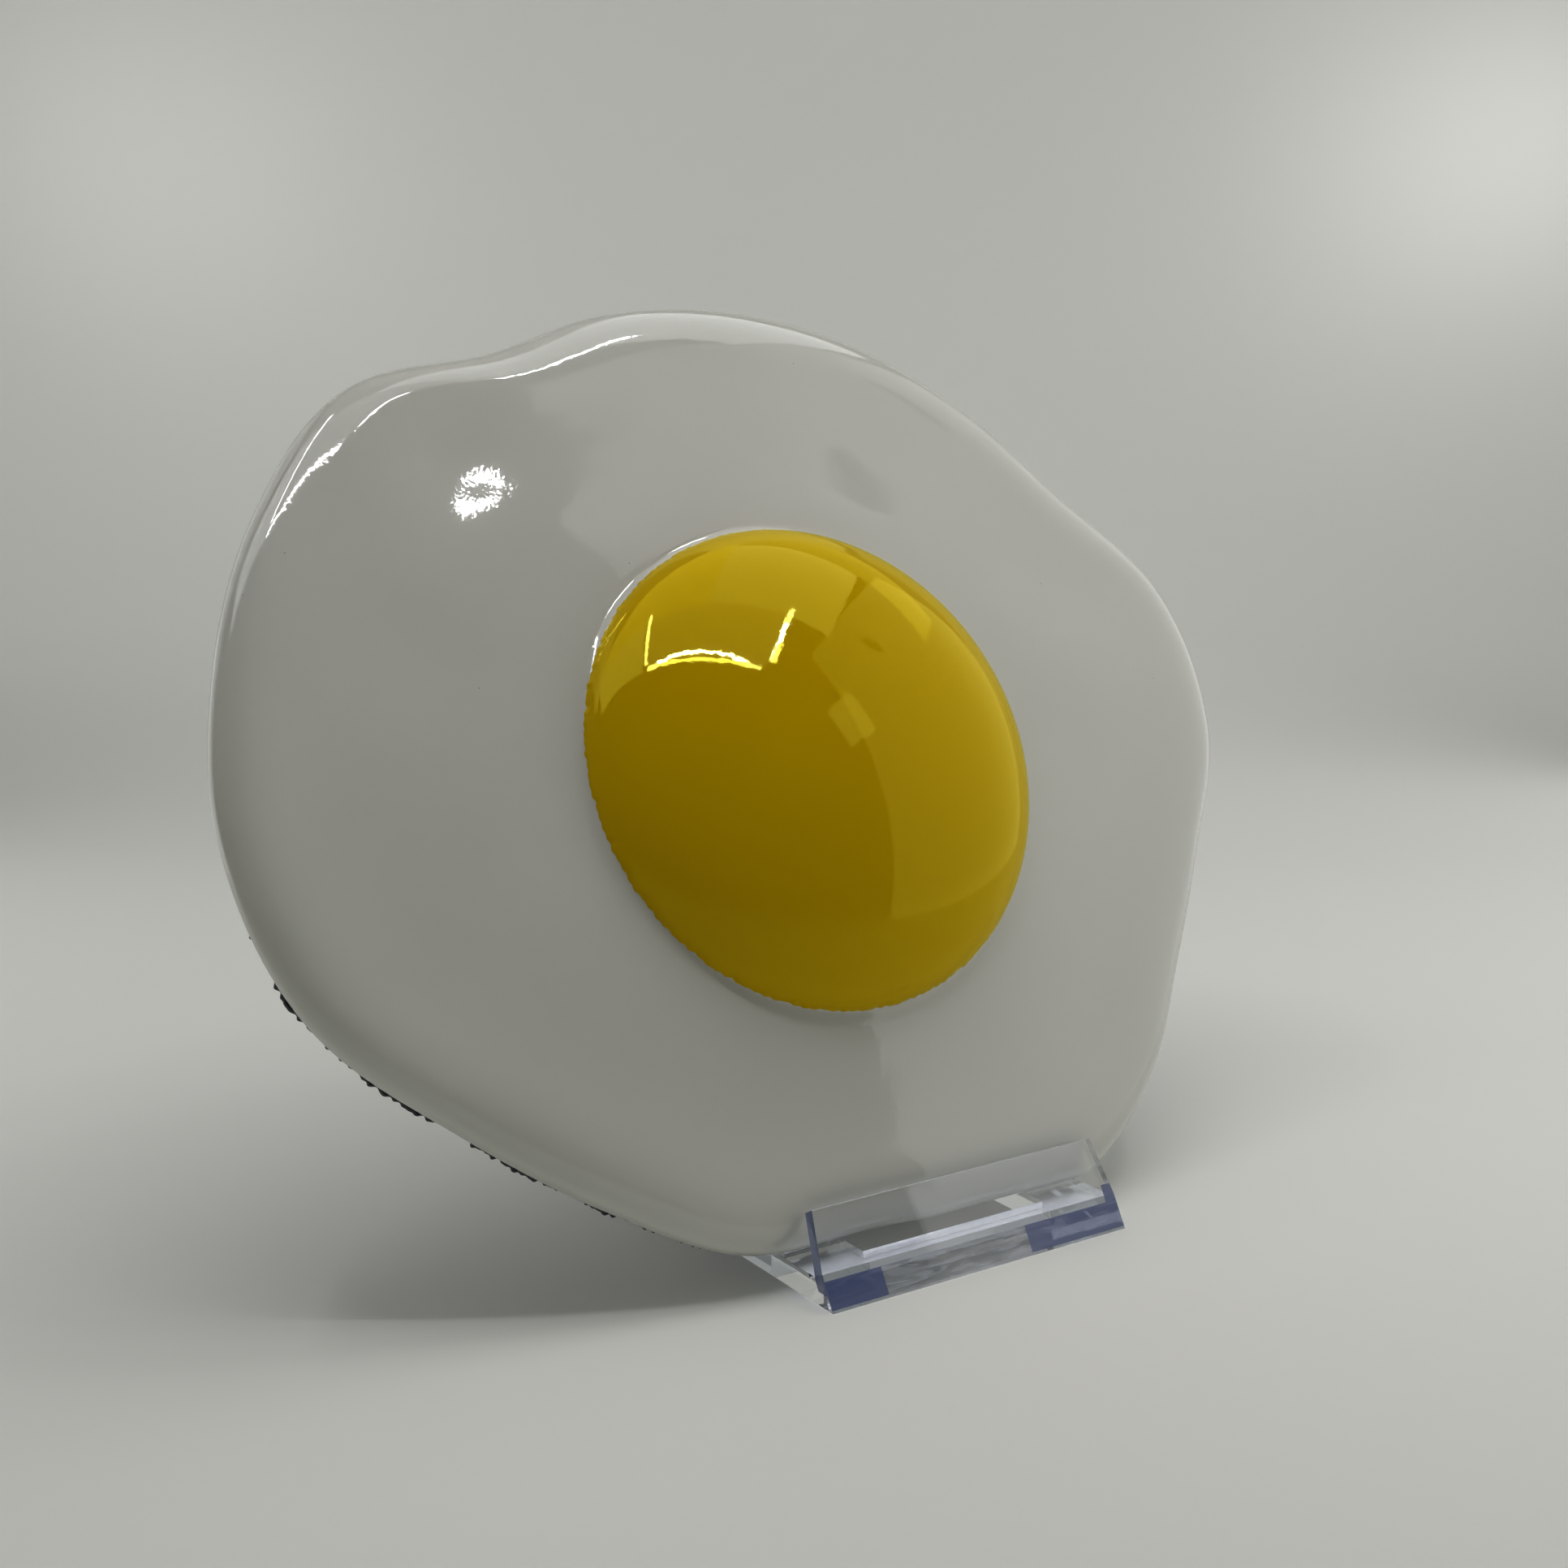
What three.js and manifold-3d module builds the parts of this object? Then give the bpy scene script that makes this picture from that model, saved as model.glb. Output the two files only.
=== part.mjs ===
// A moulded plastic fried egg on its small clear display stand.
//
// Millimetres, +Z up. The egg faces -Y and leans back towards +Y; X runs along the stand's width.
// The origin is on the floor, under the middle of the whole model's box.
//
// The egg is drawn in a face frame of its own: x across, y up the slope, z out of the face, with
// the middle of the yolk at x = y = 0 and the rear of the dark backing at z = 0.

import * as THREE from 'three';
import { mergeVertices } from 'three/addons/utils/BufferGeometryUtils.js';
import Module from 'manifold-3d';

const wasm = await Module();
wasm.setup();

// ---- Driving dimensions ----------------------------------------------------------------------

const LEAN = THREE.MathUtils.degToRad(30); // the egg, the lip and the back rest lean back alike
const GAP = 0.2; // clearance between pieces that touch

// Stand: one clear moulding of base, front lip and back rest
const STAND_WIDTH = 40;
const BASE_THICK = 2.8;
const BASE_DEPTH = 56;
const LIP_THICK = 1.5;
const LIP_LENGTH = 10.7; // measured up the slope, from the floor
const LIP_TAPER = 0.95; // how much narrower the lip gets at each end, floor to top
const REST_THICK = 2;
const REST_LENGTH = 58;
const REST_TOP_WIDTH = 30;
const REST_CORNER = 5;
const WINDOW_WIDTH = 24.8; // the opening through the base, under the egg's foot
const WINDOW_FRONT = 6;
const WINDOW_BACK = 16;
const WINDOW_ARCH = 3; // the opening goes on this far up into the back rest

// Egg white: distance from the yolk's middle to the rim, at equal angles, anticlockwise from +x
const RIM_RADII = [
  64.7, 66.8, 62.3, 62.2, 62.3, 61.6, 60.8, 60.3, 66.5, 67.1, 67.3,
  67.9, 66.1, 60.1, 56.9, 55.8, 52.1, 52.9, 56.5, 56.1, 55.2, 58.0,
];
const FOOT_Y = -52.0; // the rim is flat where it stands on the base
const YOLK_X = -2; // the yolk's middle, from the stand's middle
const YOLK_UP = 59; // and up the slope, from the floor
const BACKING_THICK = 0.6;
const BACKING_INSET = 0.25;
const RIM_WALL = 0.9; // the straight part of the white's edge
const RIM_THICK = 4.2; // the white just inside its rounded edge
const RIM_ROUND = 8; // how far the rounding reaches in from the edge
const RIM_FULLNESS = 2.5; // 2 is a quarter ellipse, more runs out softly into the face
// Where it reaches less far in, each time in a bell curve of the angle (in degrees)
const RIM_TIGHTER = [
  { at: 159, span: 38, less: 2.9 },
  { at: 135, span: 21, less: 1.3 },
];
const SWELL = 0.9; // how much thicker the white grows towards the yolk
const SWELL_REACH = 26;

// Soft dents (negative) and swells (positive) of the white's face
const RELIEF = [
  { x: -33.7, y: 38.3, reach: 8.5, height: -0.44 },
  { x: -34.5, y: 39.7, reach: 6.8, height: -0.28 },
  { x: -32.4, y: 34.1, reach: 5, height: 0.13 },
  { x: -42, y: 41.6, reach: 9.2, height: 0.23 },
  { x: -35.8, y: 50.7, reach: 15.3, height: 0.31 },
  { x: -27.1, y: 6.3, reach: 14.2, height: 0.07 },
  { x: -10.4, y: 39.6, reach: 13.7, height: -0.07 },
  { x: 10, y: 54, reach: 9, height: 0.2 },
  { x: 21, y: 39, reach: 7, height: -0.25 },
  { x: -45, y: 17, reach: 8, height: -0.35 },
  { x: -46, y: 5, reach: 9, height: 0.2 },
  { x: -52, y: -20, reach: 11, height: -0.3 },
  { x: -22, y: -42, reach: 9, height: -0.2 },
  { x: 46, y: 6, reach: 9, height: 0.35 },
  { x: 30, y: -38, reach: 9, height: -0.2 },
];
const RIM_FADE = 5; // the relief dies out over this distance at the rim
const YOLK_FADE = 8; // and over this one at the yolk

// Yolk: a raised dome in a shallow seat, with a small fillet of white round its foot
const YOLK_RADIUS = 29;
const YOLK_OVAL = 0.6; // half the difference of its long and short radius
const YOLK_LONG_WAY = THREE.MathUtils.degToRad(45);
const YOLK_HEIGHT = 12.5;
const YOLK_ROUNDNESS = 0.62; // 0.5 is a half ellipsoid, 1 a paraboloid
const SEAT_DEPTH = 0.4;
const FILLET_WIDTH = 1.6;
const FILLET_HEIGHT = 0.5;

// Mesh fineness
const SECTORS = 88;
const RIM_STEPS = 6;
const FACE_STEPS = 6;
const FILLET_STEPS = 3;
const DOME_STEPS = 9;

// ---- Shape functions of the egg --------------------------------------------------------------

const WHITE_BACK = BACKING_THICK + GAP;
const FACE_LEVEL = WHITE_BACK + RIM_THICK + SWELL; // the face where it meets the yolk
const SEAT_LEVEL = FACE_LEVEL - SEAT_DEPTH;

function smoothStep(from, to, value) {
  const t = THREE.MathUtils.clamp((value - from) / (to - from), 0, 1);
  return t * t * (3 - 2 * t);
}

// Distance from the yolk's middle to the rim: a Catmull-Rom curve through RIM_RADII, flat at its foot
function rimRadius(angle) {
  const count = RIM_RADII.length;
  const place = (angle / (2 * Math.PI)) * count;
  const first = Math.floor(place);
  const t = place - first;
  const radius = (step) => RIM_RADII[(((first + step) % count) + count) % count];
  const [a, b, c, d] = [radius(-1), radius(0), radius(1), radius(2)];
  const curve =
    b + 0.5 * t * (c - a + t * (2 * a - 5 * b + 4 * c - d + t * (3 * b - a - 3 * c + d)));
  const down = Math.sin(angle);
  return down < 0 ? Math.min(curve, FOOT_Y / down) : curve;
}

function yolkRadius(angle) {
  return YOLK_RADIUS + YOLK_OVAL * Math.cos(2 * (angle - YOLK_LONG_WAY));
}

// Height of the white's dents and swells, each one a bell curve
function relief(angle, radius) {
  const x = radius * Math.cos(angle);
  const y = radius * Math.sin(angle);
  let height = 0;
  for (const bump of RELIEF) {
    const away = Math.hypot(x - bump.x, y - bump.y) / bump.reach;
    height += bump.height * Math.exp(-away * away);
  }
  const nearRim = smoothStep(0, RIM_FADE, rimRadius(angle) - radius);
  const nearYolk = smoothStep(0, YOLK_FADE, radius - yolkRadius(angle) - FILLET_WIDTH);
  return height * nearRim * nearYolk;
}

// How far in the rounded edge reaches at an angle
function rimRound(angle) {
  let reach = RIM_ROUND;
  for (const bell of RIM_TIGHTER) {
    const away = (THREE.MathUtils.radToDeg(angle) - bell.at) / bell.span;
    reach -= bell.less * Math.exp(-away * away);
  }
  return reach;
}

// Thickness of the white at a distance in from its rim: straight wall, rounded edge, shoulder
function edgeThick(inset, round) {
  const left = THREE.MathUtils.clamp(1 - inset / round, 0, 1);
  return RIM_WALL + (RIM_THICK - RIM_WALL) * Math.sqrt(1 - Math.pow(left, RIM_FULLNESS));
}

// The white's front, from the top of its wall inwards: rounded edge, swelling face and relief
function frontLevel(angle, radius) {
  const shoulder = rimRadius(angle) - rimRound(angle);
  const swell = SWELL * smoothStep(0, SWELL_REACH, shoulder - radius);
  const toYolk = shoulder - yolkRadius(angle) - FILLET_WIDTH;
  const fullSwell = smoothStep(0, SWELL_REACH, toYolk);
  const thick = edgeThick(rimRadius(angle) - radius, rimRound(angle));
  return WHITE_BACK + thick + swell / fullSwell + relief(angle, radius);
}

// A ring of points at every sector's angle
function ring(radiusAt, heightAt) {
  const points = [];
  for (let sector = 0; sector < SECTORS; sector++) {
    const angle = (2 * Math.PI * sector) / SECTORS;
    const radius = radiusAt(angle);
    points.push([radius * Math.cos(angle), radius * Math.sin(angle), heightAt(angle, radius)]);
  }
  return points;
}

// A closed skin through rings that run from the back out round the edge and in again at the front
function closedSkin(rings) {
  const first = rings[0];
  const last = rings[rings.length - 1];
  const positions = [...rings.flat(2), 0, 0, first[0][2], 0, 0, last[0][2]];
  const backPole = rings.length * SECTORS;
  const frontPole = backPole + 1;
  const faces = [];
  for (let sector = 0; sector < SECTORS; sector++) {
    const next = (sector + 1) % SECTORS;
    const top = (rings.length - 1) * SECTORS;
    faces.push(backPole, next, sector, frontPole, top + sector, top + next);
    for (let row = 0; row < rings.length - 1; row++) {
      const low = row * SECTORS;
      const high = low + SECTORS;
      faces.push(low + sector, low + next, high + next, low + sector, high + next, high + sector);
    }
  }
  const geometry = new THREE.BufferGeometry();
  geometry.setAttribute('position', new THREE.Float32BufferAttribute(positions, 3));
  geometry.setIndex(faces);
  geometry.computeVertexNormals();
  return geometry;
}

// ---- Pieces of the egg -----------------------------------------------------------------------

function backingGeometry() {
  const edge = (angle) => rimRadius(angle) - BACKING_INSET;
  return closedSkin([ring(edge, () => 0), ring(edge, () => BACKING_THICK)]);
}

function whiteGeometry() {
  const rings = [ring(rimRadius, () => WHITE_BACK)];

  // the rounded edge, in rings that lie closer together where it is steeper
  for (let step = RIM_STEPS; step > 0; step--) {
    const turn = (step / RIM_STEPS) * (Math.PI / 2);
    const inset = 1 - Math.pow(Math.sin(turn), 2 / RIM_FULLNESS);
    rings.push(ring((angle) => rimRadius(angle) - inset * rimRound(angle), frontLevel));
  }

  // the face, from the shoulder in to the yolk's fillet
  for (let step = FACE_STEPS; step >= 0; step--) {
    const share = step / FACE_STEPS;
    const radiusAt = (angle) => {
      const inner = yolkRadius(angle) + FILLET_WIDTH;
      return inner + share * (rimRadius(angle) - rimRound(angle) - inner);
    };
    rings.push(ring(radiusAt, frontLevel));
  }

  // the hollow fillet is a quarter circle's shape, drawn in width and height
  for (let step = 1; step <= FILLET_STEPS; step++) {
    const turn = (step / FILLET_STEPS) * (Math.PI / 2);
    const out = GAP + (FILLET_WIDTH - GAP) * (1 - Math.sin(turn));
    const height = FACE_LEVEL + FILLET_HEIGHT * (1 - Math.cos(turn));
    rings.push(ring((angle) => yolkRadius(angle) + out, () => height));
  }

  rings.push(ring((angle) => yolkRadius(angle) + GAP, () => SEAT_LEVEL));
  return closedSkin(rings);
}

function yolkGeometry() {
  const foot = SEAT_LEVEL + GAP;
  const domeFoot = FACE_LEVEL + FILLET_HEIGHT / 2;
  const rings = [ring(yolkRadius, () => foot)];
  for (let step = DOME_STEPS; step > 0; step--) {
    const share = Math.sin((step / DOME_STEPS) * (Math.PI / 2));
    const height = domeFoot + YOLK_HEIGHT * Math.pow(1 - share * share, YOLK_ROUNDNESS);
    rings.push(ring((angle) => share * yolkRadius(angle), () => height));
  }
  const geometry = closedSkin(rings);
  const position = geometry.getAttribute('position');
  position.setZ(position.count - 1, domeFoot + YOLK_HEIGHT);
  return geometry;
}

// ---- The stand -------------------------------------------------------------------------------

const LIP_GRIP = LIP_LENGTH - YOLK_UP - FOOT_Y; // how far up the egg the lip reaches
const HELD_LEVEL = WHITE_BACK + edgeThick(LIP_GRIP, RIM_ROUND); // the white at the lip's top
const EGG_BEHIND = LIP_THICK + GAP + HELD_LEVEL; // the egg's rear, behind the lip's front plane
const REST_BEHIND = EGG_BEHIND + GAP; // and the back rest's front

// Side view, y back and z up: a point so far up the slope and so far behind the lip's front plane
function sidePoint(along, behind) {
  return new THREE.Vector2(
    along * Math.sin(LEAN) + behind * Math.cos(LEAN),
    along * Math.cos(LEAN) - behind * Math.sin(LEAN),
  );
}

// How far up the slope a leaning plane comes out of the base's top
function alongAtBaseTop(behind) {
  return (BASE_THICK + behind * Math.sin(LEAN)) / Math.cos(LEAN);
}

// Turns a shape drawn in the leaning plane, and extruded out of it, to its place in the stand
function leaningPlate(shape, frontBehind, thick) {
  const geometry = new THREE.ExtrudeGeometry(shape, { depth: thick, bevelEnabled: false, curveSegments: 6 });
  geometry.rotateX(Math.PI / 2 - LEAN);
  const rear = sidePoint(0, frontBehind + thick);
  geometry.translate(0, rear.x, rear.y);
  return geometry;
}

function solidOf(geometry) {
  const bare = geometry.clone();
  bare.deleteAttribute('normal');
  bare.deleteAttribute('uv');
  const merged = mergeVertices(bare, 1e-4);
  return new wasm.Manifold(
    new wasm.Mesh({
      numProp: 3,
      vertProperties: new Float32Array(merged.getAttribute('position').array),
      triVerts: new Uint32Array(merged.getIndex().array),
    }),
  );
}

function geometryOf(solid) {
  const mesh = solid.getMesh();
  const geometry = new THREE.BufferGeometry();
  geometry.setAttribute('position', new THREE.BufferAttribute(mesh.vertProperties, 3));
  geometry.setIndex(new THREE.BufferAttribute(mesh.triVerts, 1));
  return geometry;
}

// Base and lip in one: their side outline carried along the stand's width
function baseAndLip() {
  const outline = new THREE.Shape([
    new THREE.Vector2(0, 0),
    new THREE.Vector2(BASE_DEPTH, 0),
    new THREE.Vector2(BASE_DEPTH, BASE_THICK),
    sidePoint(alongAtBaseTop(LIP_THICK), LIP_THICK),
    sidePoint(LIP_LENGTH, LIP_THICK),
    sidePoint(LIP_LENGTH, 0),
  ]);
  const geometry = new THREE.ExtrudeGeometry(outline, { depth: STAND_WIDTH, bevelEnabled: false });
  geometry.rotateY(Math.PI / 2);
  geometry.rotateX(Math.PI / 2);
  geometry.translate(-STAND_WIDTH / 2, 0, 0);
  return solidOf(geometry);
}

// What is cut off one end of the lip, so that it narrows towards its top
function lipEndCut(side) {
  const half = STAND_WIDTH / 2;
  const foot = alongAtBaseTop(LIP_THICK);
  const beyond = 1;
  const slope = LIP_TAPER / (LIP_LENGTH - foot);
  const shape = new THREE.Shape([
    new THREE.Vector2(side * half, foot),
    new THREE.Vector2(side * (half + beyond), foot),
    new THREE.Vector2(side * (half + beyond), LIP_LENGTH + beyond),
    new THREE.Vector2(side * (half - slope * (LIP_LENGTH + beyond - foot)), LIP_LENGTH + beyond),
  ]);
  return solidOf(leaningPlate(shape, -beyond, LIP_THICK + 2 * beyond));
}

// The back rest narrows to rounded top corners; its foot is sunk into the base
function backRest() {
  const foot = alongAtBaseTop(REST_BEHIND) - BASE_THICK / 2;
  const footHalf = STAND_WIDTH / 2;
  const topHalf = REST_TOP_WIDTH / 2;
  const shape = new THREE.Shape();
  shape.moveTo(-footHalf, foot);
  shape.lineTo(footHalf, foot);
  shape.lineTo(topHalf, REST_LENGTH - REST_CORNER);
  shape.quadraticCurveTo(topHalf, REST_LENGTH, topHalf - REST_CORNER, REST_LENGTH);
  shape.lineTo(REST_CORNER - topHalf, REST_LENGTH);
  shape.quadraticCurveTo(-topHalf, REST_LENGTH, -topHalf, REST_LENGTH - REST_CORNER);
  return solidOf(leaningPlate(shape, REST_BEHIND, REST_THICK));
}

function windowCut() {
  const below = 1;
  const height = below + BASE_THICK + WINDOW_ARCH;
  const box = new THREE.BoxGeometry(WINDOW_WIDTH, WINDOW_BACK - WINDOW_FRONT, height);
  box.translate(0, (WINDOW_FRONT + WINDOW_BACK) / 2, height / 2 - below);
  return solidOf(box);
}

function standGeometry() {
  const solid = baseAndLip()
    .subtract(lipEndCut(-1))
    .subtract(lipEndCut(1))
    .add(backRest())
    .subtract(windowCut());
  return geometryOf(solid);
}

// ---- Assembly --------------------------------------------------------------------------------

function piece(name, geometry, color, roughness) {
  const mesh = new THREE.Mesh(geometry, new THREE.MeshStandardMaterial({ color, roughness, metalness: 0 }));
  mesh.name = name;
  return mesh;
}

const egg = new THREE.Group();
egg.add(
  piece('backing', backingGeometry(), 0x1d2029, 0.8),
  piece('egg_white', whiteGeometry(), 0xe9e8e2, 0.12),
  piece('yolk', yolkGeometry(), 0xf0b400, 0.1),
);
const eggRear = sidePoint(YOLK_UP, EGG_BEHIND);
egg.rotation.x = Math.PI / 2 - LEAN;
egg.position.set(YOLK_X, eggRear.x, eggRear.y);

const stand = piece('stand', standGeometry(), 0xc9cfe6, 0.05);
stand.material.transparent = true;
stand.material.opacity = 0.35;

const model = new THREE.Group();
model.add(egg, stand);
model.updateMatrixWorld(true);
const box = new THREE.Box3().setFromObject(model, true);
const middle = box.getCenter(new THREE.Vector3());
model.position.set(-middle.x, -middle.y, -box.min.z);

export default model;
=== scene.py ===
"""A moulded plastic fried egg leaning in its small clear display stand, in a plain light tent.

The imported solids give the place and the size. The egg's three pieces are drawn again here from the
same radii and heights, on fine grids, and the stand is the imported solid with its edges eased.
Lengths are in millimetres until a mesh is made. The egg is worked out in a face frame: x across,
y up the slope, z out of the face, with the yolk's middle at x = y = 0 and the rear of the dark
backing at z = 0.
"""

import math

import bmesh
import bpy
import numpy as np
from mathutils import Matrix, Vector


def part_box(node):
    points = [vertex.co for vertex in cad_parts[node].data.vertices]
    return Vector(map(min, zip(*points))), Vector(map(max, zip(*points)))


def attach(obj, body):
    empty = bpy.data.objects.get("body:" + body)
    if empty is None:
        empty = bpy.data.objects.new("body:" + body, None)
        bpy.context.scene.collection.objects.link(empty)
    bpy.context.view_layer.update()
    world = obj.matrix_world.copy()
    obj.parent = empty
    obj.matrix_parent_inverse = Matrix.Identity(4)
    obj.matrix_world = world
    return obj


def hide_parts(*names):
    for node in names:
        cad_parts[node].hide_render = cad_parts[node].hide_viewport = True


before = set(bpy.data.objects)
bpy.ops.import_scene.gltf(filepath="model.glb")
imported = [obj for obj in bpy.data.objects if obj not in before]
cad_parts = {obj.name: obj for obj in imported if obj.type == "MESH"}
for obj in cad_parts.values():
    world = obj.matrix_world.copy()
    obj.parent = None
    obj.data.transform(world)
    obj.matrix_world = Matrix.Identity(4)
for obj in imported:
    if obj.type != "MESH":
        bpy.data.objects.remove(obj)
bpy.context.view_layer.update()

MM = 0.001  # metres

# ---- Sizes, the same as the solids' ------------------------------------------------------------

LEAN = math.radians(30)
GAP = 0.2
STAND_WIDTH = 40
LIP_THICK = 1.5
LIP_LENGTH = 10.7
RIM_RADII = np.array([
    64.7, 66.8, 62.3, 62.2, 62.3, 61.6, 60.8, 60.3, 66.5, 67.1, 67.3,
    67.9, 66.1, 60.1, 56.9, 55.8, 52.1, 52.9, 56.5, 56.1, 55.2, 58.0,
])  # from the yolk's middle to the rim, at equal angles, anticlockwise from +x
FOOT_Y = -52.0
YOLK_X = -2
YOLK_UP = 59
BACKING_THICK = 0.6
BACKING_INSET = 0.25
RIM_WALL = 0.9
RIM_THICK = 4.2
RIM_ROUND = 8
RIM_FULLNESS = 2.5
RIM_TIGHTER = [(159, 38, 2.9), (135, 21, 1.3)]  # where it reaches less far in: degrees, span, mm
SWELL = 0.9
SWELL_REACH = 26
RELIEF = [
    (-33.7, 38.3, 8.5, -0.44),
    (-34.5, 39.7, 6.8, -0.28),
    (-32.4, 34.1, 5, 0.13),
    (-42, 41.6, 9.2, 0.23),
    (-35.8, 50.7, 15.3, 0.31),
    (-27.1, 6.3, 14.2, 0.07),
    (-10.4, 39.6, 13.7, -0.07),
    (10, 54, 9, 0.2),
    (21, 39, 7, -0.25),
    (-45, 17, 8, -0.35),
    (-46, 5, 9, 0.2),
    (-52, -20, 11, -0.3),
    (-22, -42, 9, -0.2),
    (46, 6, 9, 0.35),
    (30, -38, 9, -0.2),
]  # x, y, reach and height of each soft dent or swell of the white
RIM_FADE = 5
YOLK_FADE = 8
YOLK_RADIUS = 29
YOLK_OVAL = 0.6
YOLK_LONG_WAY = math.radians(45)
YOLK_HEIGHT = 12.5
YOLK_ROUNDNESS = 0.62
SEAT_DEPTH = 0.4
FILLET_WIDTH = 1.6
FILLET_HEIGHT = 0.5

WHITE_BACK = BACKING_THICK + GAP
FACE_LEVEL = WHITE_BACK + RIM_THICK + SWELL
SEAT_LEVEL = FACE_LEVEL - SEAT_DEPTH

# ---- Sizes of the finish -----------------------------------------------------------------------

SECTORS = 576
EDGE_EASE = 0.12  # radius of the white's rear edge
EDGE_ROWS = 4
WALL_ROWS = 3
RIM_ROWS = 26
FACE_ROWS = 76
FILLET_ROWS = 12
YOLK_ROWS = 110
PAINT_WANDER = 0.05  # how far the yolk's painted edge strays
BACKING_SECTORS = 2304
CUT_SHORT = 0.9  # how much further in the backing ends where it hides behind the white
SHOWS_FROM, SHOWS_TO = math.radians(186), math.radians(262)  # and where it shows
SHOWS_RAMP = math.radians(9)  # half the angle over which it comes out
RAGGED = 0.3  # how far its torn edge strays
RAGGED_LEAST, RAGGED_MOST = -1.3, 1.2  # and where the straying is cut off
SLOW_SHARE = 0.6  # the share of slow waves in it
HOLLOW, HOLLOW_AT, HOLLOW_SPAN = 0.3, 243, 9  # a hollow in it: depth, degrees, span
SEAT_OVERLAP = 0.15  # how far the fillet reaches in under the yolk
SEAT_EDGE = 0.2  # how far in from the yolk's radius the flat seat begins
MERGE = 1e-6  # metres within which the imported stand's corners are one
FLAT_WITHIN = math.radians(0.5)  # turn up to which two of its faces are one
SHARP_FROM = math.radians(20)  # turn from which an edge of it is eased
STAND_EASE = 0.16  # width of the stand's eased edges
PAINTED_BLUE_LEFT, PAINTED_BLUE_RIGHT = 7.2, 26.6  # inner ends of the painted violet-blue along the front edge of the stand
PAINTED_BLUE_LOW, PAINTED_BLUE_HIGH = 0.3, 2.9  # its lower and upper end there
FOOT_WIDE, FOOT_LOW, FOOT_HIGH = 1.5, 2.8, 4.6  # the painted violet-blue at the foot of the lip's right end
LIP_PAINTED_BLUE_LOW, LIP_PAINTED_BLUE_HIGH, LIP_PAINTED_BLUE_WIDE = 1.5, 20, 2  # and on the lip's left end
SLACK, WIDE_SLACK = 0.1, 1  # how far past a face the painted violet-blue's limits are set
PAINTED_BLUE_COVER, SHADED_FLOOR_COVER = 0.9, 0.55  # how much of the clear plastic the painted violet-blue and the band of painted shaded floor and scratches hide


def smooth_step(low, high, value):
    """0 below low, 1 above high, and 3t^2 - 2t^3 between them."""
    t = np.clip((value - low) / (high - low), 0, 1)
    return t * t * (3 - 2 * t)


def rim_radius(angle):
    """A Catmull-Rom curve through RIM_RADII in the angle, cut flat at FOOT_Y."""
    count = len(RIM_RADII)
    place = np.mod(angle, 2 * np.pi) / (2 * np.pi) * count
    first = np.floor(place).astype(int)
    t = place - first
    a, b, c, d = (RIM_RADII[(first + step) % count] for step in (-1, 0, 1, 2))
    curve = b + 0.5 * t * (c - a + t * (2 * a - 5 * b + 4 * c - d + t * (3 * b - a - 3 * c + d)))
    down = np.sin(angle)
    foot = FOOT_Y / np.where(down < -0.05, down, -0.05)
    return np.where(down < -0.05, np.minimum(curve, foot), curve)


def yolk_radius(angle):
    return YOLK_RADIUS + YOLK_OVAL * np.cos(2 * (angle - YOLK_LONG_WAY))


def relief(angle, radius):
    """The sum of height * exp(-(distance / reach)^2) over the bumps, faded out at rim and yolk."""
    x, y = radius * np.cos(angle), radius * np.sin(angle)
    height = sum(
        bump * np.exp(-((x - bx) ** 2 + (y - by) ** 2) / reach**2)
        for bx, by, reach, bump in RELIEF
    )
    near_rim = smooth_step(0, RIM_FADE, rim_radius(angle) - radius)
    near_yolk = smooth_step(0, YOLK_FADE, radius - yolk_radius(angle) - FILLET_WIDTH)
    return height * near_rim * near_yolk


def rim_round(angle):
    """How far in the rounded edge reaches: RIM_ROUND less the bell curves of RIM_TIGHTER."""
    degrees = np.degrees(angle)
    return RIM_ROUND - sum(
        less * np.exp(-(((degrees - at) / span) ** 2)) for at, span, less in RIM_TIGHTER
    )


def edge_thick(inset, reach):
    """Thickness at a distance in from the rim: wall + rise * sqrt(1 - (1 - inset / reach) ^ n)."""
    left = np.clip(1 - inset / reach, 0, 1)
    return RIM_WALL + (RIM_THICK - RIM_WALL) * np.sqrt(1 - left**RIM_FULLNESS)


def front_level(angle, radius):
    """The white's front: the rounded edge, a swell of SWELL from its shoulder in, the relief."""
    shoulder = rim_radius(angle) - rim_round(angle)
    swell = SWELL * smooth_step(0, SWELL_REACH, shoulder - radius)
    full = smooth_step(0, SWELL_REACH, shoulder - yolk_radius(angle) - FILLET_WIDTH)
    thick = edge_thick(rim_radius(angle) - radius, rim_round(angle))
    return WHITE_BACK + thick + swell / full + relief(angle, radius)


def wander(angle, periods, seed):
    """A closed random line of unit size: sine waves round the edge with random phases."""
    draw = np.random.default_rng(seed)
    turns = np.array(periods)
    phases = draw.uniform(0, 2 * np.pi, len(turns))
    weights = draw.uniform(0.5, 1, len(turns))
    waves = weights * np.sin(angle[..., None] * turns + phases)
    return waves.sum(-1) / np.sqrt((weights**2).sum() / 2)


# ---- Meshes ------------------------------------------------------------------------------------

held_level = WHITE_BACK + edge_thick(LIP_LENGTH - YOLK_UP - FOOT_Y, RIM_ROUND)
egg_behind = LIP_THICK + GAP + held_level
stand_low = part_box("stand")[0] / MM
up_slope = Vector((0, math.sin(LEAN), math.cos(LEAN)))
backwards = Vector((0, math.cos(LEAN), -math.sin(LEAN)))
face_origin = (
    stand_low
    + Vector((STAND_WIDTH / 2 + YOLK_X, 0, 0))
    + up_slope * YOLK_UP
    + backwards * float(egg_behind)
)
FACE_AXES = np.array([(1, 0, 0), up_slope, -backwards])


def to_row(points):
    """From the face frame in millimetres to the row's frame in metres."""
    return (np.asarray(points) @ FACE_AXES + np.array(face_origin)) * MM


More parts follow.
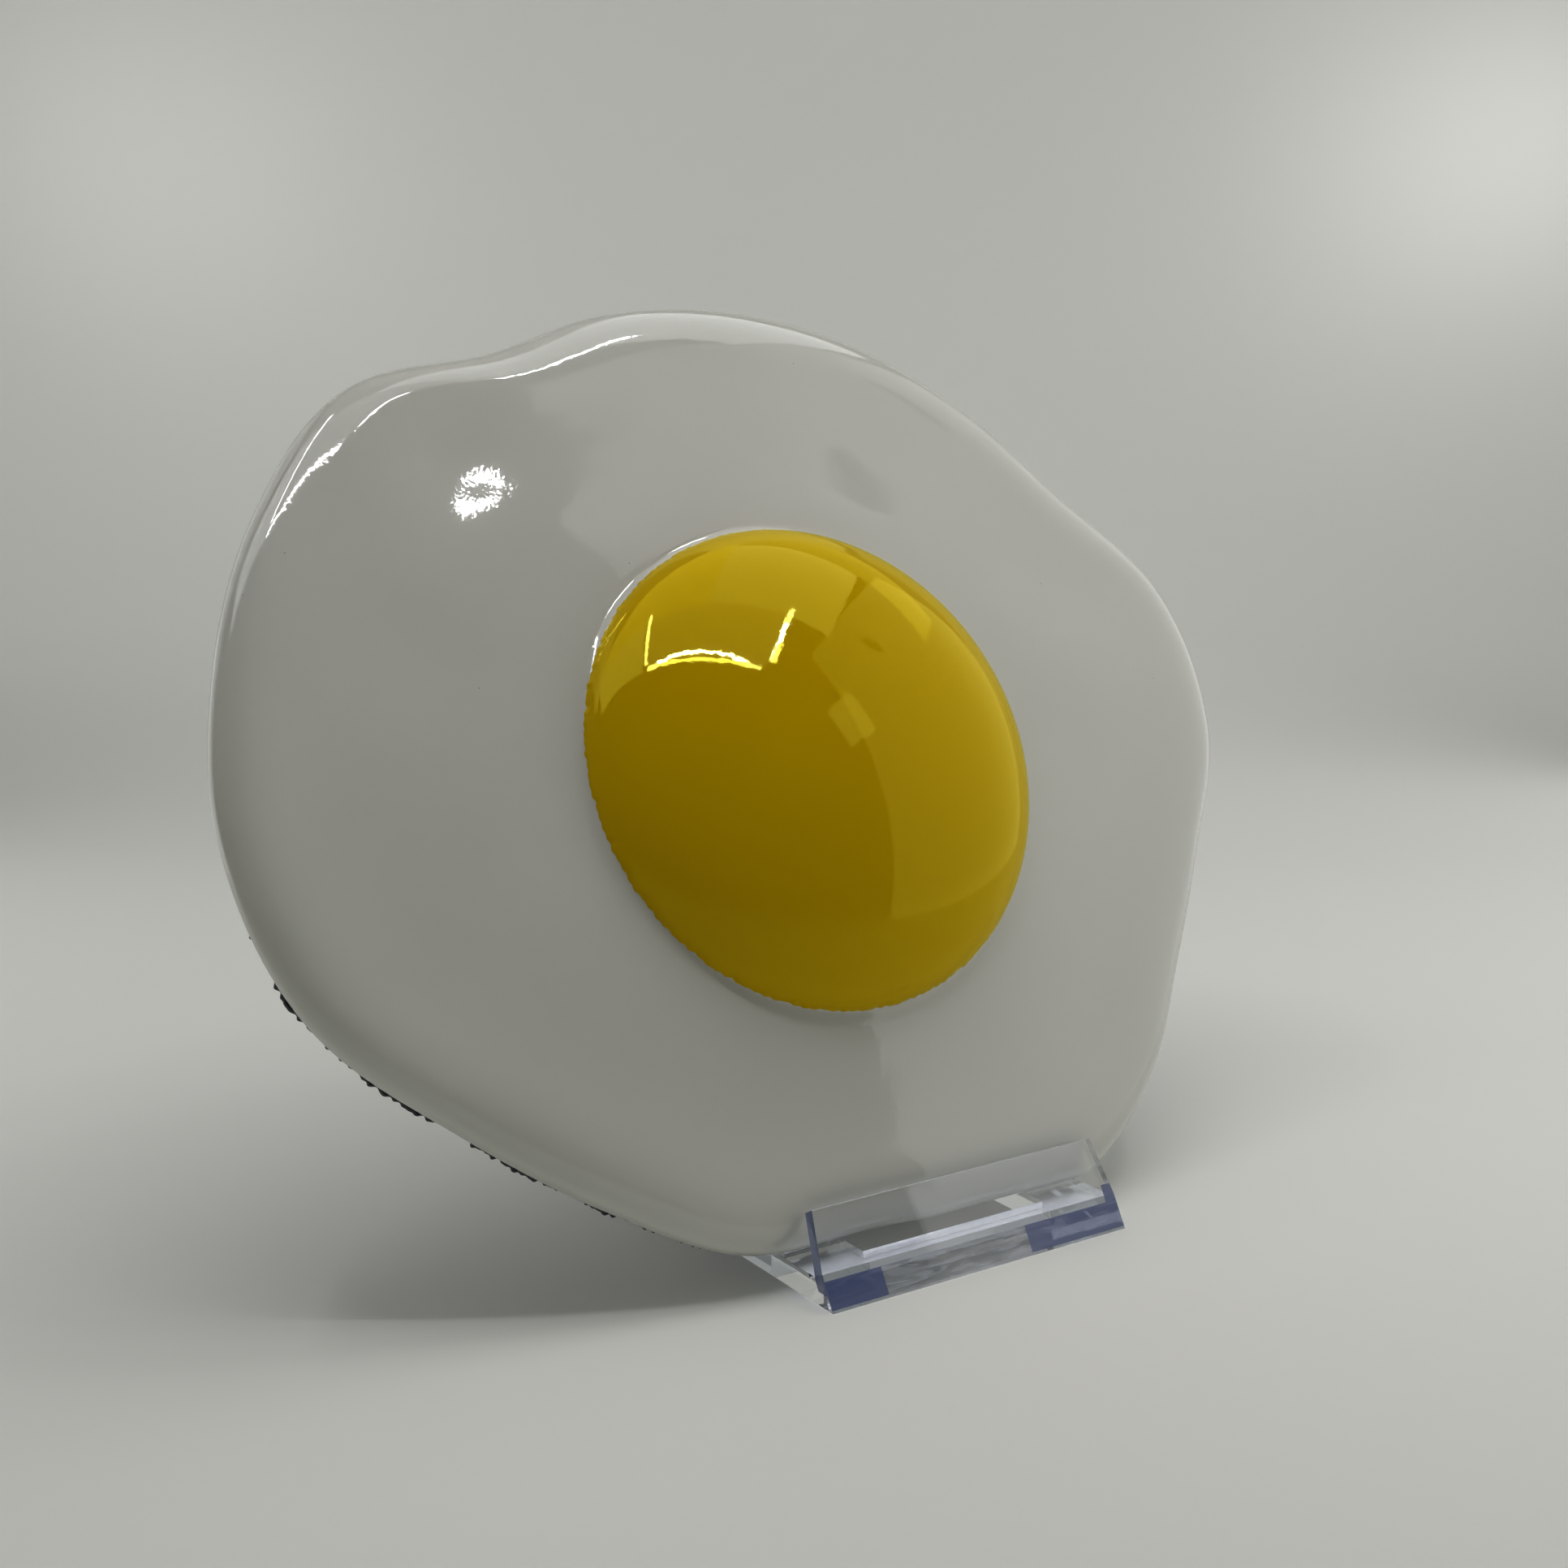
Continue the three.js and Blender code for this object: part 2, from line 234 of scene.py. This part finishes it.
def mesh_piece(name, points, quads, triangles, material):
    """Makes one object from arrays of points, quads and triangles, smooth shaded."""
    mesh = bpy.data.meshes.new(name)
    corners = np.concatenate([np.asarray(quads).ravel(), np.asarray(triangles).ravel()])
    starts = np.concatenate([
        np.arange(len(quads)) * 4,
        len(quads) * 4 + np.arange(len(triangles)) * 3,
    ])
    mesh.vertices.add(len(points))
    mesh.vertices.foreach_set("co", np.asarray(points, np.float32).ravel())
    mesh.loops.add(len(corners))
    mesh.loops.foreach_set("vertex_index", corners.astype(np.int32))
    mesh.polygons.add(len(starts))
    mesh.polygons.foreach_set("loop_start", starts.astype(np.int32))
    mesh.update(calc_edges=True)
    mesh.validate()
    mesh.shade_smooth()
    piece = bpy.data.objects.new(name, mesh)
    bpy.context.scene.collection.objects.link(piece)
    mesh.materials.append(material)
    return piece


def skin(name, radii, heights, angle, material):
    """A closed skin of rings, from the pole at the back, round the edge, to the pole in front.

    Row i, sector j is at (radii[i, j], angle[j]) and the height heights[i, j].
    """
    rows, sectors = radii.shape
    ring = np.stack([radii * np.cos(angle), radii * np.sin(angle), heights], -1).reshape(-1, 3)
    poles = np.array([(0, 0, heights[0].mean()), (0, 0, heights[-1].mean())])
    points = to_row(np.concatenate([ring, poles]))
    index = np.arange(rows * sectors).reshape(rows, sectors)
    after = np.roll(index, -1, axis=1)
    quads = np.stack([index[:-1], after[:-1], after[1:], index[1:]], -1).reshape(-1, 4)
    back_pole = np.full(sectors, rows * sectors)
    back = np.stack([back_pole, after[0], index[0]], -1)
    front = np.stack([back_pole + 1, index[-1], after[-1]], -1)
    return mesh_piece(name, points, quads, np.concatenate([back, front]), material)


def white_piece(material):
    """The white: back, eased rear edge, wall, rounded rim, face, fillet and seat, ring by ring.

    Ease: quarter circle of EDGE_EASE. Rim and face: front_level. Fillet: hollow quarter ellipse.
    """
    angle = np.arange(SECTORS) * 2 * np.pi / SECTORS
    rim, yolk = rim_radius(angle), yolk_radius(angle)
    radii, heights = [], []

    def ring(radius, height):
        radii.append(radius)
        heights.append(np.broadcast_to(height, radius.shape))

    for share in (0.5, 0.9):
        ring(share * rim, WHITE_BACK)
    for turn in np.linspace(0, np.pi / 2, EDGE_ROWS):
        ring(rim - EDGE_EASE * (1 - np.sin(turn)), WHITE_BACK + EDGE_EASE * (1 - np.cos(turn)))
    for share in np.linspace(0, 1, WALL_ROWS)[1:-1]:
        ring(rim, WHITE_BACK + EDGE_EASE + share * (RIM_WALL - EDGE_EASE))
    for turn in np.linspace(np.pi / 2, 0, RIM_ROWS):
        radius = rim - rim_round(angle) * (1 - np.sin(turn) ** (2 / RIM_FULLNESS))
        ring(radius, front_level(angle, radius))
    inner = yolk + FILLET_WIDTH
    for share in np.linspace(1, 0, FACE_ROWS)[1:]:
        radius = inner + share * (rim - rim_round(angle) - inner)
        ring(radius, front_level(angle, radius))
    for turn in np.linspace(0, np.pi / 2, FILLET_ROWS)[1:]:
        radius = yolk - SEAT_OVERLAP + (FILLET_WIDTH + SEAT_OVERLAP) * (1 - np.sin(turn))
        ring(radius, FACE_LEVEL + FILLET_HEIGHT * (1 - np.cos(turn)))
    ring(yolk - SEAT_EDGE, SEAT_LEVEL)
    ring(yolk / 2, SEAT_LEVEL)
    return skin("egg_white_gloss", np.array(radii), np.array(heights), angle, material)


def yolk_piece(material):
    """The yolk: height = foot + YOLK_HEIGHT * (1 - share^2) ^ YOLK_ROUNDNESS over its radius."""
    angle = np.arange(SECTORS) * 2 * np.pi / SECTORS
    edge = yolk_radius(angle)
    stray = PAINT_WANDER * wander(angle, [31, 47, 83, 113, 151], 5)
    foot = SEAT_LEVEL + GAP
    dome_foot = FACE_LEVEL + FILLET_HEIGHT / 2
    radii, heights = [edge * 0.6, edge + stray], [foot + 0 * edge, foot + 0 * edge]
    for share in np.sin(np.linspace(np.pi / 2, 0, YOLK_ROWS)[:-1]):
        radii.append(share * edge + stray * smooth_step(0.985, 1, share))
        heights.append(dome_foot + YOLK_HEIGHT * (1 - share**2) ** YOLK_ROUNDNESS + 0 * edge)
    return skin("yolk_dome", np.array(radii), np.array(heights), angle, material)


def backing_piece(material):
    """A thin sheet with a torn edge, which comes out to the white's edge in one stretch only.

    Edge: rim - inset - CUT_SHORT outside the stretch - a shallow bell within it
    + RAGGED * (slow and quick random waves, mixed by SLOW_SHARE).
    """
    angle = np.arange(BACKING_SECTORS) * 2 * np.pi / BACKING_SECTORS
    begins = smooth_step(-SHOWS_RAMP, SHOWS_RAMP, angle - SHOWS_FROM)
    ends = smooth_step(-SHOWS_RAMP, SHOWS_RAMP, SHOWS_TO - angle)
    slow = wander(angle, [23, 31, 53, 71], 11)
    quick = wander(angle, [163, 227, 311, 449], 12)
    torn = SLOW_SHARE * slow + (1 - SLOW_SHARE) * quick
    edge = rim_radius(angle) - BACKING_INSET - CUT_SHORT * (1 - begins * ends)
    edge += RAGGED * np.clip(torn, RAGGED_LEAST, RAGGED_MOST)
    edge -= HOLLOW * np.exp(-(((np.degrees(angle) - HOLLOW_AT) / HOLLOW_SPAN) ** 2))
    radii = np.array([0.9 * edge, edge, edge, 0.9 * edge])
    heights = np.array([0, 0, BACKING_THICK, BACKING_THICK])[:, None] + 0 * edge
    sheet = skin("backing_sheet", radii, heights, angle, material)
    sheet.data.shade_flat()
    return sheet


def stand_piece(material):
    """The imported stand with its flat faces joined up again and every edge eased."""
    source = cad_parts["stand"].data
    shape = bmesh.new()
    shape.from_mesh(source)
    bmesh.ops.remove_doubles(shape, verts=shape.verts, dist=MERGE)
    bmesh.ops.dissolve_limit(
        shape, angle_limit=FLAT_WITHIN, verts=shape.verts, edges=shape.edges
    )
    mesh = bpy.data.meshes.new("stand_clear")
    shape.to_mesh(mesh)
    shape.free()
    mesh.shade_smooth()
    mesh.materials.append(material)
    piece = bpy.data.objects.new("stand_clear", mesh)
    bpy.context.scene.collection.objects.link(piece)
    bevel = piece.modifiers.new("eased edges", "BEVEL")
    bevel.width = STAND_EASE * MM
    bevel.segments = 2
    bevel.limit_method = "ANGLE"
    bevel.angle_limit = SHARP_FROM
    flat = piece.modifiers.new("flat faces", "WEIGHTED_NORMAL")
    flat.weight = 100
    flat.thresh = 0.01
    return piece


# ---- Materials ---------------------------------------------------------------------------------


def linear(hex_colour):
    """sRGB hex to linear RGBA."""
    parts = [int(hex_colour[i : i + 2], 16) / 255 for i in (1, 3, 5)]
    return (*(p / 12.92 if p <= 0.04045 else ((p + 0.055) / 1.055) ** 2.4 for p in parts), 1)


def add(tree, kind, values=None, links=None, **settings):
    """Adds a node, sets its own settings and its sockets' values, and links sockets to sources."""
    node = tree.nodes.new("ShaderNode" + kind)
    for key, value in settings.items():
        setattr(node, key, value)
    for socket, value in (values or {}).items():
        node.inputs[socket].default_value = value
    for socket, source in (links or {}).items():
        tree.links.new(source, node.inputs[socket])
    return node


def blend(tree, share, dark, light):
    """A colour between two: each is sRGB hex or a source, and so much of the second is in it."""
    ends = {6: dark, 7: light}
    values = {socket: linear(end) for socket, end in ends.items() if isinstance(end, str)}
    links = {socket: end for socket, end in ends.items() if not isinstance(end, str)}
    return add(tree, "Mix", values, {0: share, **links}, data_type="RGBA").outputs[2]


def spread(tree, value, from_low, from_high, to_low, to_high):
    """Maps one range of a value on another."""
    limits = {1: from_low, 2: from_high, 3: to_low, 4: to_high}
    return add(tree, "MapRange", limits, {0: value}).outputs[0]


def ripple(tree, height, strength, distance):
    """A bump of so many metres."""
    values = {"Strength": strength, "Distance": distance}
    return add(tree, "Bump", values, {"Height": height}).outputs[0]


def noise(tree, place, scale, detail, **values):
    sizes = {"Scale": scale, "Detail": detail, **values}
    return add(tree, "TexNoise", sizes, {"Vector": place}).outputs["Fac"]


def finish_material(material, tree, surface, **links):
    add(tree, "OutputMaterial", None, {"Surface": surface, **links})
    return material


def new_material(name):
    material = bpy.data.materials.new(name)
    material.use_nodes = True
    tree = material.node_tree
    tree.nodes.clear()
    place = add(tree, "TexCoord").outputs["Object"]
    return material, tree, place


def lacquered_white():
    """Cast resin sprayed with gloss white: faint orange peel, a few specks of dust."""
    material, tree, place = new_material("gloss_white_lacquer_on_resin")
    peel, waves = noise(tree, place, 1400, 1.5), noise(tree, place, 160, 1)
    heights = add(tree, "Math", {1: 5}, {0: waves, 2: peel}, operation="MULTIPLY_ADD")
    bump = ripple(tree, heights.outputs[0], 0.7, 0.000012)
    colour = blend(tree, noise(tree, place, 30, 2), "#C5C5BC", "#D0D0C8")
    cells = add(tree, "TexVoronoi", {"Scale": 190}, {"Vector": place})
    speck = spread(tree, cells.outputs["Distance"], 0.012, 0.024, 0.6, 0)
    surface = add(
        tree, "BsdfPrincipled",
        {"Roughness": 0.035, "IOR": 1.5, "Coat Weight": 0.6, "Coat Roughness": 0.02},
        {
            "Base Color": blend(tree, speck, colour, "#6E6C66"),
            "Normal": bump,
            "Coat Normal": bump,
        },
    )
    return finish_material(material, tree, surface.outputs[0])


def enamelled_yellow():
    """Egg-yellow enamel over the same resin: deep, even colour under a wet, yellowish gloss."""
    material, tree, place = new_material("gloss_yellow_enamel_on_resin")
    bump = ripple(tree, noise(tree, place, 1600, 2), 0.5, 0.00001)
    colour = blend(tree, noise(tree, place, 45, 2), "#C39A00", "#C9A000")
    enamel = add(
        tree, "BsdfPrincipled", {"Roughness": 0.03, "IOR": 1.06},
        {"Base Color": colour, "Normal": bump},
    )
    sheen = add(
        tree, "BsdfAnisotropic", {"Color": linear("#FFF23C"), "Roughness": 0.02},
        {"Normal": bump},
    )
    share = add(tree, "Fresnel", {"IOR": 1.6}, {"Normal": bump})
    surface = add(
        tree, "MixShader", None, {0: share.outputs[0], 1: enamel.outputs[0], 2: sheen.outputs[0]}
    )
    return finish_material(material, tree, surface.outputs[0])


def dull_backing():
    """Thin blue-black sheet, cut with a knife and left matt."""
    material, tree, place = new_material("matt_black_vinyl_sheet")
    grain = noise(tree, place, 900, 3)
    surface = add(
        tree, "BsdfPrincipled", {"Roughness": 0.75},
        {
            "Base Color": blend(tree, grain, "#14161D", "#262A34"),
            "Normal": ripple(tree, grain, 0.5, 0.00006),
        },
    )
    return finish_material(material, tree, surface.outputs[0])


def within(tree, value, low, high):
    """1 where a value in metres lies between two lengths in millimetres, else 0."""
    middle, half = (low + high) / 2 * MM, (high - low) / 2 * MM
    return add(tree, "Math", {1: middle, 2: half}, {0: value}, operation="COMPARE").outputs[0]


def both(tree, one, other, operation="MULTIPLY"):
    return add(tree, "Math", None, {0: one, 1: other}, operation=operation).outputs[0]


def clear_styrene():
    """Injection-moulded clear polystyrene, with violet-blue painted on parts of its edge.

    The painted violet-blue stands in for light that has run a long way through the faintly blue
    plastic; it lies on the base's front edge at both ends and on the lip's left end. Between the two
    on the edge lies a grey band, partly real scratches and partly a painted view of the shaded floor
    seen through the plastic. Everywhere else the plastic is clear, faintly blue.
    """
    material, tree, place = new_material("clear_polystyrene_injection_moulded")
    clear = add(
        tree, "BsdfPrincipled",
        {"Base Color": linear("#FFFFFF"), "IOR": 1.58, "Transmission Weight": 1.0},
        {"Roughness": spread(tree, noise(tree, place, 500, 4), 0.45, 0.8, 0, 0.02)},
    )

    left, right = stand_low.x, stand_low.x + STAND_WIDTH
    front = stand_low.y * math.cos(LEAN)
    across, _, height = add(tree, "SeparateXYZ", None, {0: place}).outputs
    behind = add(
        tree, "VectorMath", {1: backwards}, {0: place}, operation="DOT_PRODUCT"
    ).outputs["Value"]
    facing = add(tree, "SeparateXYZ", None, {0: add(tree, "TexCoord").outputs["Normal"]})
    on_front = within(tree, behind, front - SLACK, front + SLACK)
    on_edge = both(tree, on_front, within(tree, height, PAINTED_BLUE_LOW, PAINTED_BLUE_HIGH))
    left_block = within(tree, across, left - WIDE_SLACK, left + PAINTED_BLUE_LEFT)
    right_block = within(tree, across, left + PAINTED_BLUE_RIGHT, right + WIDE_SLACK)
    right_foot = both(
        tree, within(tree, across, right - FOOT_WIDE, right + WIDE_SLACK),
        both(tree, on_front, within(tree, height, FOOT_LOW, FOOT_HIGH)),
    )
    faces_left = add(tree, "Math", {1: -0.9}, {0: facing.outputs[0]}, operation="LESS_THAN")
    on_lip = both(
        tree, within(tree, behind, front - SLACK, front + LIP_THICK + SLACK),
        both(
            tree, within(tree, height, LIP_PAINTED_BLUE_LOW, LIP_PAINTED_BLUE_HIGH),
            within(tree, across, left - WIDE_SLACK, left + LIP_PAINTED_BLUE_WIDE),
        ),
    )
    left_end = both(tree, faces_left.outputs[0], on_lip)
    ends = both(tree, on_edge, both(tree, left_block, right_block, "MAXIMUM"))
    # where violet-blue is painted on: the colour that light run long through the plastic shows
    painted_blue_mask = both(tree, both(tree, ends, right_foot, "MAXIMUM"), left_end, "MAXIMUM")
    # the band between the blue ends: a painted view of the shaded floor through the plastic, with
    # real scratches
    shaded_floor_band = both(tree, on_edge, within(tree, across, left + PAINTED_BLUE_LEFT, left + PAINTED_BLUE_RIGHT))

    drawn = add(tree, "Mapping", {"Scale": (140, 900, 900)}, {"Vector": place}).outputs[0]
    streaks = noise(tree, drawn, 1, 3, Distortion=1.5)
    # painted violet-blue, standing in for light run long through the faintly blue plastic
    painted_blue = blend(tree, spread(tree, streaks, 0.55, 0.75, 0, 1), "#525D8A", "#69739A")
    # painted shaded floor as seen through the plastic, streaked like the scratches
    shaded_floor_and_scratches = blend(tree, spread(tree, streaks, 0.42, 0.58, 0, 1), "#686D74", "#A6AAB6")
    painted_layer = add(
        tree, "BsdfPrincipled", {"Roughness": 0.15},
        {"Base Color": blend(tree, painted_blue_mask, shaded_floor_and_scratches, painted_blue)},
    )
    painted_blue_cover = add(tree, "Math", {1: PAINTED_BLUE_COVER}, {0: painted_blue_mask}, operation="MULTIPLY").outputs[0]
    cover = add(
        tree, "Math", {1: SHADED_FLOOR_COVER}, {0: shaded_floor_band, 2: painted_blue_cover}, operation="MULTIPLY_ADD"
    )
    seen = add(
        tree, "MixShader", None,
        {0: cover.outputs[0], 1: clear.outputs[0], 2: painted_layer.outputs[0]},
    )
    lamp_way = add(tree, "BsdfTransparent", {"Color": linear("#EDEFF8")})
    ray = add(tree, "LightPath")
    mixed = add(
        tree, "MixShader", None,
        {0: ray.outputs["Is Shadow Ray"], 1: seen.outputs[0], 2: lamp_way.outputs[0]},
    )
    depth = add(tree, "VolumeAbsorption", {"Color": (0.55, 0.63, 0.74, 1), "Density": 14})
    return finish_material(material, tree, mixed.outputs[0], Volume=depth.outputs[0])


# ---- The object --------------------------------------------------------------------------------

pieces = {
    "egg_white": white_piece(lacquered_white()),
    "yolk": yolk_piece(enamelled_yellow()),
    "backing": backing_piece(dull_backing()),
    "stand": stand_piece(clear_styrene()),
}
for node_name, piece in pieces.items():
    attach(piece, "root")
    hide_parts(node_name)

# ---- The light tent ----------------------------------------------------------------------------

CAMERA_YAW = math.radians(33.58)  # the tent stands square to the camera
CAMERA_PITCH = math.radians(11.03)
CAMERA_PLACE = Vector((-115.508, -164.852, 94.466))  # from the stand's low corner
LENS = 48.45
TENT_TURN = Matrix.Rotation(-CAMERA_YAW, 4, "Z")
SENSOR = 36
FLOOR_FLAT = 520
FLOOR_REACH = 900
FLOOR_WALL = 700
FLOOR_MIDDLE = 60  # radius of its innermost ring
FLOOR_SECTORS, FLOOR_BENDS = 128, 24
CARD_CORNERS = 48
FLOOR_BELOW = 0.04  # a hair of air under the stand, so that its clear underside shows as one
CEILING = 360
WALL_LEAN = math.radians(10)
LAMP_ROWS = {
    "front": (3, -57, (228, 7), 26),
    "left": (-116, 16, (7, 128), 24),
    "right_near": (132, -19.3, (10, 37.4), 30),
    "right_far": (129, 61, (7, 38), 44),
}  # right, forward, size and radiance of the rows under the roof
WHITE_GLINT, YOLK_GLINT = 110, 1000  # their radiances as the egg's gloss mirrors them
ROOF_GLINT, ROOF_GLINT_RIGHT = 1.5, 0.8  # and the roof's
BOW_DEEP, BOW_STEPS, BOW_STEP = 15, 4, 25  # the front row's bow as the yolk mirrors it
COOL = "#959EFF"  # bare lamps that yellow gloss mirrors nearly white
WARM = "#FFF4B8"  # the tent roof, once yellow gloss has mirrored it


def tent_point(right, forward, up):
    """A point of the tent in metres, given from the stand's low corner, square to the camera."""
    turned = TENT_TURN @ Vector((right, forward, up))
    return (turned + Vector((stand_low.x, stand_low.y, 0))) * MM


def matt_paper(name, dark, light):
    """Smooth matt paper, faintly cloudy."""
    material, tree, place = new_material(name)
    colour = blend(tree, noise(tree, place, 5, 2), dark, light)
    surface = add(tree, "BsdfPrincipled", {"Roughness": 0.65}, {"Base Color": colour})
    return finish_material(material, tree, surface.outputs[0])


def sweep(material):
    """Floor and wall in one: flat to FLOOR_FLAT, then a quarter circle up to a round wall."""
    angle = np.arange(FLOOR_SECTORS) * 2 * np.pi / FLOOR_SECTORS
    bend = np.linspace(0, np.pi / 2, FLOOR_BENDS)
    rise = FLOOR_REACH - FLOOR_FLAT
    radii = np.concatenate([
        [FLOOR_MIDDLE, FLOOR_FLAT / 2], FLOOR_FLAT + rise * np.sin(bend), [FLOOR_REACH]
    ])
    heights = np.concatenate([[0, 0], rise * (1 - np.cos(bend)), [rise + FLOOR_WALL]])
    heights -= FLOOR_BELOW
    points = np.stack([
        radii[:, None] * np.cos(angle),
        radii[:, None] * np.sin(angle),
        heights[:, None] + 0 * angle,
    ], -1).reshape(-1, 3) * MM
    index = np.arange(len(points)).reshape(len(radii), len(angle))
    after = np.roll(index, -1, axis=1)
    quads = np.stack([index[:-1], index[1:], after[1:], after[:-1]], -1).reshape(-1, 4)
    points = np.concatenate([points, [(0, 0, -FLOOR_BELOW * MM)]])
    middle = np.stack([np.full(len(angle), len(points) - 1), index[0], after[0]], -1)
    return mesh_piece("studio_sweep", points, quads, middle, material)


def panel(name, middle, towards, size, radiance):
    """A one-sided soft light of a given brightness, unseen by the camera itself."""
    light = bpy.data.lights.new(name, "AREA")
    light.shape = "RECTANGLE"
    light.size, light.size_y = size[0] * MM, size[1] * MM
    light.energy = radiance * math.pi * light.size * light.size_y
    lamp = bpy.data.objects.new(name, light)
    bpy.context.scene.collection.objects.link(lamp)
    lamp.visible_camera = False
    facing = (towards - middle).to_track_quat("-Z", "Y")
    lamp.matrix_world = Matrix.Translation(middle) @ facing.to_matrix().to_4x4()
    return lamp


def ceiling_light(name, right, forward, size, radiance):
    """A panel under the tent's roof, square to the tent and facing down."""
    lamp = panel(name, Vector(), Vector((0, 0, -1)), size, radiance)
    lamp.matrix_world = Matrix.Translation(tent_point(right, forward, CEILING)) @ TENT_TURN
    return lamp


def wall_light(name, right, forward, up, inwards, size, radiance):
    """A panel on a side wall, facing inwards (1 to the right, -1 to the left), leant back."""
    lamp = panel(name, Vector(), Vector((0, 0, -1)), size, radiance)
    turn = TENT_TURN @ Matrix.Rotation(-WALL_LEAN, 4, "X")
    turn = turn @ Matrix.Rotation(math.radians(-90 * inwards), 4, "Y")
    lamp.matrix_world = Matrix.Translation(tent_point(right, forward, up)) @ turn
    return lamp


def glint(name, piece, right, forward, size, radiance, colour="#FFFFFF"):
    """Lamps as one piece's gloss mirrors them, which light nothing else and aren't diffused."""
    lamp = ceiling_light(name, right, forward, size, radiance)
    lamp.data.color = linear(colour)[:3]
    lamp.visible_diffuse = False
    lit = bpy.data.collections.new(name)
    lit.objects.link(pieces[piece])
    lamp.light_linking.receiver_collection = lit


def oval_card(right, forward, up, half_deep, half_high, material):
    """An upright oval of card, square to the right wall, which only shows mirrored in gloss."""
    turns = np.arange(CARD_CORNERS) * 2 * np.pi / CARD_CORNERS
    rim = [
        tent_point(right, forward + half_deep * np.cos(turn), up + half_high * np.sin(turn))
        for turn in turns
    ]
    mesh = bpy.data.meshes.new("studio_card")
    mesh.from_pydata(rim, [], [list(range(len(rim)))])
    mesh.materials.append(material)
    card = bpy.data.objects.new("studio_card", mesh)
    bpy.context.scene.collection.objects.link(card)
    card.visible_camera = card.visible_diffuse = card.visible_transmission = False
    card.visible_shadow = False
    return card


def wash(name, right, radiance):
    """A panel behind the tent that lights the backdrop alone."""
    middle, towards = tent_point(right, 420, 430), tent_point(right, 800, 250)
    return panel(name, middle, towards, (300, 200), radiance)


def pool(name, right, radiance):
    """A smaller panel near the backdrop, for a paler pool on it."""
    middle, towards = tent_point(right, 740, 250), tent_point(right, 850, 150)
    return panel(name, middle, towards, (120, 90), radiance)


sweep(matt_paper("matt_backdrop_paper", "#E8E9E3", "#ECEDE7"))
oval_card(196, 89, 270, 9, 20, matt_paper("matt_grey_card", "#3B3C39", "#434441"))

for side, row in LAMP_ROWS.items():
    ceiling_light(f"strip_{side}", *row)
for side, row in LAMP_ROWS.items():
    glint(f"white_glint_{side}", "egg_white", *row[:3], WHITE_GLINT)
glint("yolk_glint_left", "yolk", -116, 16, (3.4, 128), YOLK_GLINT, COOL)
glint("yolk_glint_right", "yolk", 129, 21, (5, 118), YOLK_GLINT, COOL)
glint("yolk_roof_left", "yolk", -200, 182, (400, 245), ROOF_GLINT, WARM)
glint("yolk_roof_back_left", "yolk", -200, 405, (400, 200), ROOF_GLINT, WARM)
glint("yolk_roof_back_right", "yolk", 200, 405, (400, 200), ROOF_GLINT_RIGHT, WARM)
front_right, front_forward = LAMP_ROWS["front"][:2]
for step in range(-BOW_STEPS, BOW_STEPS + 1):
    right = front_right + BOW_STEP * step
    forward = front_forward + BOW_DEEP * (1 - (step / BOW_STEPS) ** 2)
    glint(f"yolk_glint_front_{step}", "yolk", right, forward, (26, 4.5), YOLK_GLINT, COOL)
ceiling_light("roof_inner", 6.5, 4, (235, 112), 0.9)
ceiling_light("roof_left", -260, 0, (270, 120), 1.6)
ceiling_light("roof_back_left", -100, 182, (200, 245), 0.25)
ceiling_light("roof_back_right", 100, 182, (200, 245), 1.5)
wall_light("wall_left", -200, 136, 80, 1, (400, 160), 0.45)
wall_light("wall_right", 200, 136, 150, -1, (400, 350), 0.65)
panel("lamp_card", tent_point(122, -9, 165), tent_point(4, 27, 55), (30, 33), 1.1)
wash("wash_left", -330, 1.7)
wash("wash_middle", 0, 2.9)
wash("wash_right", 330, 1.8)
pool("pool_left", -270, 0.7)
pool("pool_right", 300, 1.2)

world = bpy.data.worlds.new("room")
bpy.context.scene.world = world
world.use_nodes = True
world.node_tree.nodes["Background"].inputs["Color"].default_value = linear("#F2F4F0")
world.node_tree.nodes["Background"].inputs["Strength"].default_value = 0.02

camera = bpy.data.objects.new("camera", bpy.data.cameras.new("camera"))
bpy.context.scene.collection.objects.link(camera)
bpy.context.scene.camera = camera
camera.data.lens = LENS
camera.data.sensor_width = SENSOR
camera.data.clip_start = 0.01
camera.location = (stand_low + CAMERA_PLACE) * MM
camera.rotation_euler = (math.pi / 2 - CAMERA_PITCH, 0, -CAMERA_YAW)

cycles = bpy.context.scene.cycles
cycles.max_bounces = 40
cycles.caustics_reflective = False
cycles.glossy_bounces = 36
cycles.transmission_bounces = 36
cycles.transparent_max_bounces = 16
cycles.volume_bounces = 0
bpy.context.scene.view_settings.view_transform = "Standard"
